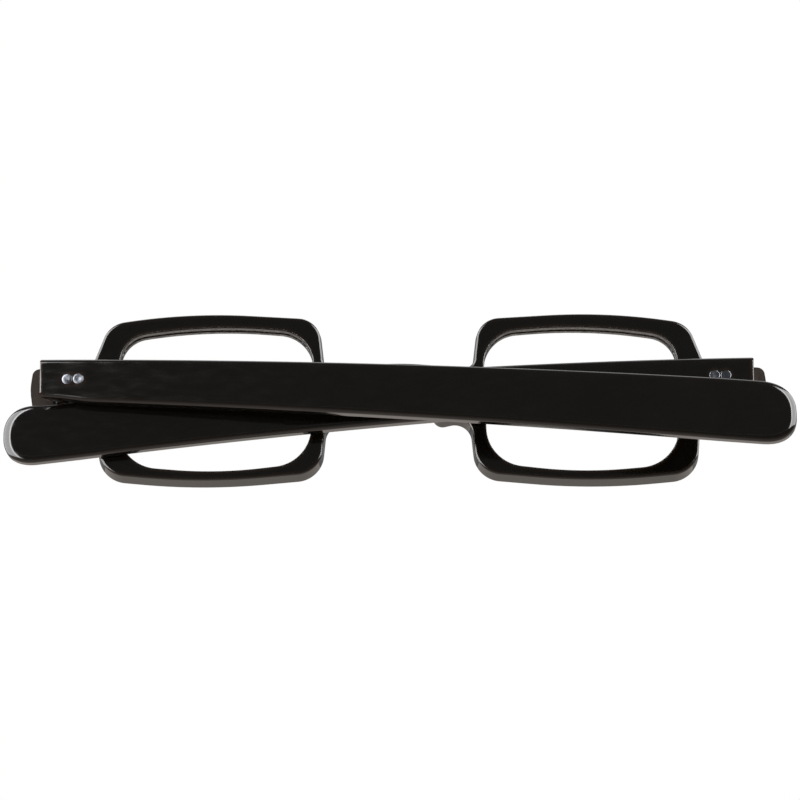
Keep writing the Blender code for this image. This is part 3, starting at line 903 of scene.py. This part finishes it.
def temple_outline(side):
    """Clockwise side view of a temple as (u, z): the top edge to the tip, then the bottom edge back."""
    straight = TIP_U - TIP_ROUND - BUTT_U
    stations = [BUTT_U, BUTT_U + BUTT_ROUND_ROOM]
    stations += [BUTT_U + straight * k / TEMPLE_STATIONS for k in range(1, TEMPLE_STATIONS + 1)]
    for k in range(1, TIP_STATIONS):
        share = math.sin(math.pi / 2 * k / TIP_STATIONS) ** (2 / TIP_POWER)
        stations.append(TIP_U - TIP_ROUND + TIP_ROUND * share)
    top = []
    bottom = []
    for u in stations:
        centre = temple_centre_z(side, u)
        half = temple_half_height(u)
        top.append(Vector((u, centre + half - tip_dip(side, u))))
        bottom.append(Vector((u, centre - half + root_lift(u))))
    return top + bottom[::-1]


def temple_point(side, u, depth, z):
    """A point of a temple: depth is measured inwards from the outer face, before the bow and the taper."""
    fade = max(0.0, 1 - (u - BUTT_U) / MITRE_FADE)
    mitred_u = u + depth * MITRE_SLOPE * fade
    v = TEMPLE_OUTER_V - temple_bow(u) - depth * temple_thickness(u) / TEMPLE_THICKNESS
    return (-SIDES[side] * mitred_u, v, z)


def butt_round(depth):
    """How far the rounded edges of the butt draw back at a depth below the outer face."""
    below = min(depth, TEMPLE_THICKNESS - depth, BUTT_ROUND)
    return BUTT_ROUND - math.sqrt(BUTT_ROUND**2 - (BUTT_ROUND - below) ** 2)


def temple_rings(side):
    """Rings from the outer face of a temple to its inner face, with polished edges."""
    outline = temple_outline(side)
    soft = [1 + TIP_SOFTENING * max(0.0, 1 - (TIP_U - p.x) / (2 * TIP_ROUND)) for p in outline]
    outer = edge_round(OUTER_EDGE_RADIUS, TEMPLE_EDGE_STEPS)
    inner = [(e, TEMPLE_THICKNESS - d) for e, d in reversed(edge_round(INNER_EDGE_RADIUS, TEMPLE_EDGE_STEPS))]
    rings = []
    for edge, depth in outer + inner:
        ring = inset(outline, [edge * factor for factor in soft])
        for end in (0, -1):
            ring[end].x = BUTT_U + butt_round(depth)
        rings.append([temple_point(side, p.x, depth, p.y) for p in ring])
    return rings


def core_tube(name, side, radius, start, end, material, place):
    """The core wire or its channel, which dips below the rivets near the hinge."""
    rings = []
    for k in range(CORE_STATIONS + 1):
        u = start + (end - start) * k / CORE_STATIONS
        v = TEMPLE_OUTER_V - temple_bow(u) - temple_thickness(u) / 2
        z = temple_centre_z(side, u) - CORE_BELOW_RIVETS / (1 + (u / CORE_RISE_LENGTH) ** 2)
        ring = []
        for corner in range(CORE_SIDES):
            angle = 2 * math.pi * corner / CORE_SIDES
            ring.append((-SIDES[side] * u, v + radius * math.cos(angle), z + radius * math.sin(angle)))
        rings.append(ring)
    return stack_rings(name, rings, material, place)


def temple_pocket(side, sign, material, place):
    """Recess in the inner face of the temple for the temple leaf."""
    low, high = hinge_span(side)
    ends = sorted((-sign * BUTT_U, -sign * (TEMPLE_LEAF_LENGTH + POCKET_FIT)))
    return box(
        "temple_pocket",
        (ends[0], LEAF_TO_FACE - 2 * OVERSHOOT, low - POCKET_FIT),
        (ends[1], LEAF_TO_FACE + LEAF_THICKNESS + POCKET_FIT, high + POCKET_FIT),
        material,
        place,
    )


def build_temple(side, sign, acetate, sawn, metal):
    """A folded temple with its core wire, its half of the hinge and its rivets."""
    pin = Matrix.Translation(Vector((sign * PIN_X, PIN_Y, 0.0)))
    turn = Matrix.Rotation(-sign * math.radians(FOLD_ANGLE[side]), 4, "Z")
    place = row_place() @ pin @ turn
    body = f"{side}_temple"
    temple = stack_rings(f"temple_bar_{side}", temple_rings(side), acetate, place, ladder_caps=True)
    grip = TEMPLE_OUTER_V - LEAF_TO_FACE
    reaches = [TEMPLE_RIVET_FROM_PIN + k * RIVET_SPACING for k in range(RIVETS_IN_LEAF)]
    centres = [(-sign * reach, LEAF_TO_FACE, HINGE_Z[side]) for reach in reaches]
    hole = rivet_hole(grip)
    cutters = [temple_pocket(side, sign, sawn, place)]
    channel = (CORE_RADIUS + CORE_FIT, BUTT_U - OVERSHOOT, CORE_END_U + OVERSHOOT)
    cutters.append(core_tube("core_channel", side, *channel, sawn, place))
    cutters += [turned("hole", hole, "Y", centre, sawn, place) for centre in centres]
    cut(temple, cutters)
    stand_for(smooth(temple), f"temple_{side}", body)
    leaf = hinge_leaf(
        f"temple_leaf_{side}", side, TEMPLE_LEAF_LENGTH, (-sign, 0), (0, 1), (0.0, 0.0), False,
        metal["leaf"], place, centres, hole,
    )
    stand_for(leaf, f"temple_hinge_leaf_{side}", body)
    wire = core_tube(f"core_wire_{side}", side, CORE_RADIUS, CORE_START_U, CORE_END_U, metal["wire"], place)
    stand_for(smooth(wire), f"temple_core_wire_{side}", body)
    profile = rivet_profile(grip)
    for k, centre in enumerate(centres):
        rivet = turned(f"temple_rivet_pin_{side}_{k + 1}", profile, "Y", centre, metal["rivet"], place)
        stand_for(smooth(rivet), f"temple_rivet_{side}_{k + 1}", body)


# ---------------------------------------------------------------- studio


def camera_axes():
    """Right, up and backward axes of the camera, which looks up at the back of the front."""
    back = Vector((0.0, math.cos(CAMERA_BELOW), -math.sin(CAMERA_BELOW)))
    right = unit(Vector((0.0, 0.0, 1.0)).cross(back))
    up = back.cross(right)
    roll = Matrix.Rotation(CAMERA_ROLL, 3, back)
    return roll @ right, roll @ up, back


def build_camera():
    right, up, back = camera_axes()
    data = bpy.data.cameras.new("camera")
    data.sensor_width = SENSOR_WIDTH
    data.lens = SENSOR_WIDTH * CAMERA_DISTANCE / VIEW_WIDTH
    data.clip_start, data.clip_end = CLIP_RANGE
    camera = bpy.data.objects.new("camera", data)
    turn = Matrix((right, up, back)).transposed().to_4x4()
    camera.matrix_world = Matrix.Translation(CAMERA_AIM + back * CAMERA_DISTANCE) @ turn
    bpy.context.scene.collection.objects.link(camera)
    bpy.context.scene.camera = camera


def softbox(name, azimuth, half_width, span, radiance):
    """A rectangular light, given by the angles that it fills, which shows only in reflections."""
    low, high = span
    half_height = (high - low) / 2
    direction = towards(azimuth, low + half_height)
    data = bpy.data.lights.new(name, "AREA")
    data.shape = "RECTANGLE"
    data.size = 2 * SOFTBOX_DISTANCE * math.tan(math.radians(half_width))
    data.size_y = 2 * SOFTBOX_DISTANCE * math.tan(math.radians(half_height))
    data.energy = radiance * math.pi * data.size * data.size_y
    light = bpy.data.objects.new(name, data)
    light.location = direction * SOFTBOX_DISTANCE
    light.rotation_euler = direction.to_track_quat("Z", "Y").to_euler()
    light.visible_camera = False
    light.visible_diffuse = False
    bpy.context.scene.collection.objects.link(light)


def towards(azimuth, elevation):
    """Unit vector at an azimuth from +Y towards +X and an elevation, in degrees."""
    a = math.radians(azimuth)
    e = math.radians(elevation)
    return Vector((math.sin(a) * math.cos(e), math.cos(a) * math.cos(e), math.sin(e)))


def build_world():
    """White to look at and for soft light. Reflections find a dim studio, darkest above the camera."""
    world = bpy.data.worlds.new("studio")
    world.use_nodes = True
    bpy.context.scene.world = world
    nodes = world.node_tree.nodes
    links = world.node_tree.links
    place = nodes.new("ShaderNodeTexCoord")
    along = nodes.new("ShaderNodeVectorMath")
    along.operation = "DOT_PRODUCT"
    along.inputs[1].default_value = towards(0.0, DARK_ELEVATION)
    links.new(place.outputs["Generated"], along.inputs[0])
    dark = nodes.new("ShaderNodeMapRange")
    dark.interpolation_type = "SMOOTHSTEP"
    dark.inputs["From Min"].default_value = math.cos(math.radians(DARK_OUTER_REACH))
    dark.inputs["From Max"].default_value = math.cos(math.radians(DARK_INNER_REACH))
    dark.inputs["To Min"].default_value = STUDIO_RADIANCE
    dark.inputs["To Max"].default_value = DARK_RADIANCE
    links.new(along.outputs["Value"], dark.inputs["Value"])
    path = nodes.new("ShaderNodeLightPath")
    seen = nodes.new("ShaderNodeMix")
    seen.inputs["A"].default_value = 1.0
    links.new(path.outputs["Is Glossy Ray"], seen.inputs["Factor"])
    links.new(dark.outputs["Result"], seen.inputs["B"])
    links.new(seen.outputs["Result"], nodes["Background"].inputs["Strength"])
    nodes["Background"].inputs["Color"].default_value = (1.0, 1.0, 1.0, 1.0)


def level_sheet(half, z):
    """A square that lies level at a height."""
    bm = bmesh.new()
    corners = ((-half, -half), (half, -half), (half, half), (-half, half))
    bm.faces.new([bm.verts.new((x, y, z)) for x, y in corners])
    return bm


def build_floor(z):
    """A plain pale floor, well below the object because the camera looks up at it."""
    bm = level_sheet(FLOOR_SIZE / 2, z)
    material, nodes, _ = new_material("floor")
    shader = nodes["Principled BSDF"]
    shader.inputs["Base Color"].default_value = (*(FLOOR_TONE * share for share in FLOOR_WARMTH), 1.0)
    shader.inputs["Roughness"].default_value = CARD_ROUGHNESS
    finish_object("floor", bm, [material])


def build_flag(z):
    """A grey card over the floor, seen only in the polish, that darkens towards the camera."""
    material, nodes, links = new_material("flag")
    shader = nodes["Principled BSDF"]
    shader.inputs["Roughness"].default_value = CARD_ROUGHNESS
    place = nodes.new("ShaderNodeTexCoord")
    axes = nodes.new("ShaderNodeSeparateXYZ")
    links.new(place.outputs["Object"], axes.inputs["Vector"])
    fade = nodes.new("ShaderNodeMapRange")
    fade.interpolation_type = "SMOOTHSTEP"
    fade.inputs["From Min"].default_value = FLAG_START
    fade.inputs["From Max"].default_value = FLAG_FULL
    fade.inputs["To Min"].default_value = FLAG_NEAR_TONE
    fade.inputs["To Max"].default_value = FLAG_TONE
    links.new(axes.outputs["Y"], fade.inputs["Value"])
    warm = nodes.new("ShaderNodeVectorMath")
    warm.operation = "SCALE"
    warm.inputs["Vector"].default_value = FLOOR_WARMTH
    links.new(fade.outputs["Result"], warm.inputs["Scale"])
    links.new(warm.outputs["Vector"], shader.inputs["Base Color"])
    flag = finish_object("flag", level_sheet(FLAG_HALF_SIZE, z), [material])
    flag.visible_camera = False
    flag.visible_diffuse = False
    flag.visible_shadow = False


def build_studio():
    """Camera, surroundings, floor and the lights that the polish mirrors."""
    build_camera()
    build_world()
    floor_z = cad_box[0].z - FLOOR_DROP
    build_floor(floor_z)
    build_flag(floor_z + FLAG_LIFT)
    softbox("softbox_top", TOP_AZIMUTH, TOP_HALF_WIDTH, TOP_SPAN, TOP_RADIANCE)
    strip_azimuth = SOFTBOX_AZIMUTH - SOFTBOX_HALF_WIDTH + STRIP_HALF_WIDTH
    for side, sign in SIDES.items():
        span = SOFTBOX_SPANS[side]
        softbox(f"softbox_{side}", sign * SOFTBOX_AZIMUTH, SOFTBOX_HALF_WIDTH, span, SOFTBOX_RADIANCE)
        softbox(f"strip_{side}", sign * strip_azimuth, STRIP_HALF_WIDTH, span, STRIP_RADIANCE)


def main():
    bpy.context.scene.view_settings.view_transform = "Standard"
    build_studio()
    acetate = polished_acetate()
    machined = machined_acetate()
    sawn = sawn_acetate()
    metal = {use: steel(*look) for use, look in METALS.items()}
    build_front(acetate, machined, sawn, metal)
    for side, sign in SIDES.items():
        build_temple(side, sign, acetate, sawn, metal)


main()
bpy.context.view_layer.update()
